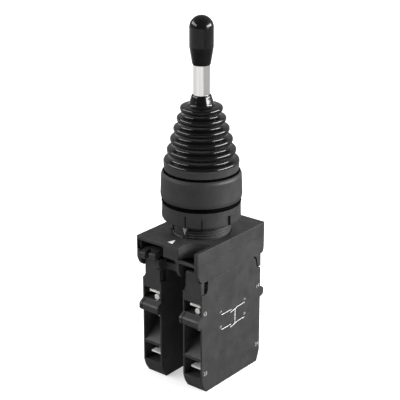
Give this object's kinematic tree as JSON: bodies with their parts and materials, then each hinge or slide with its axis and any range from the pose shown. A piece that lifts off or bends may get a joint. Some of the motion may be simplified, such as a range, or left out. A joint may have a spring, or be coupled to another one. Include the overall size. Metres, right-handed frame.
{
  "type": "industrial joystick switch",
  "caption": "Panel-mount spring-return joystick with a pleated rubber boot, threaded round head, latch-on adapter and stacked contact blocks.",
  "frame": {"origin": "centre of the threaded neck at the underside of the gasket, where the panel's face lies", "axes": "+Z along the lever at rest, out of the panel towards the knob; -Y is the front, where the lock lever is; X runs across the two contact blocks"},
  "size_m": [0.0296, 0.0426, 0.1349],
  "materials": {
    "black_plastic": "fine matte moulded",
    "knob_plastic": "satin grip, glossy dome",
    "grey_plastic": "matte moulded",
    "boot_rubber": "glossy",
    "gasket_rubber": "matte",
    "steel": "polished",
    "spring_steel": "plain wire",
    "nickel": "nickel plated",
    "copper": "plain"
  },
  "bodies": {
    "base": {"pivot_pin": "steel", "boot": "boot_rubber", "bezel": "black_plastic", "gasket": "gasket_rubber", "operator_body": "black_plastic", "panel_nut": "black_plastic", "pusher_spring_right": "spring_steel", "pusher_spring_left": "spring_steel", "adapter_cap": "black_plastic", "adapter_frame": "black_plastic", "guide_plate": "black_plastic", "case_right": "black_plastic", "cover_right": "black_plastic", "return_spring_right": "spring_steel", "fixed_contacts_right": "nickel", "wire_clamps_right": "nickel", "terminal_screws_right": "nickel", "case_left": "black_plastic", "cover_left": "black_plastic", "return_spring_left": "spring_steel", "fixed_contacts_left": "nickel", "wire_clamps_left": "nickel", "terminal_screws_left": "nickel"},
    "lever": {"knob": "knob_plastic", "lever_rod": "steel", "rocker": "grey_plastic"},
    "drive_right": {"pusher_right": "grey_plastic", "carrier_right": "grey_plastic", "bridge_upper_right": "copper", "bridge_lower_right": "copper", "contact_springs_right": "spring_steel"},
    "drive_left": {"pusher_left": "grey_plastic", "carrier_left": "grey_plastic", "bridge_upper_left": "copper", "bridge_lower_left": "copper", "contact_springs_left": "spring_steel"},
    "lock": {"lock_ring": "black_plastic"}
  },
  "joints": [
    {"name": "lever_tilt", "type": "hinge", "parent": "base", "child": "lever", "pos_m": [0, 0, 0.005], "axis": [0, 1, 0], "range_deg": [-14, 14], "stiffness_Nm_per_rad": 0.6, "deforming": ["boot"]},
    {"name": "drive_right_slide", "type": "slide", "parent": "base", "child": "drive_right", "axis": [0, 0, 1], "range_m": [-0.0016, 0.0016], "deforming": ["pusher_spring_right", "return_spring_right"]},
    {"name": "drive_left_slide", "type": "slide", "parent": "base", "child": "drive_left", "axis": [0, 0, 1], "range_m": [-0.0016, 0.0016], "deforming": ["pusher_spring_left", "return_spring_left"]},
    {"name": "lock_turn", "type": "hinge", "parent": "base", "child": "lock", "pos_m": [0, 0, -0.018], "axis": [0, 0, 1], "range_deg": [-4, 4]}
  ],
  "couplings": [
    {"joint": "drive_right_slide", "follows": "lever_tilt", "m_per_rad": -0.0065},
    {"joint": "drive_left_slide", "follows": "lever_tilt", "m_per_rad": 0.0065}
  ]
}
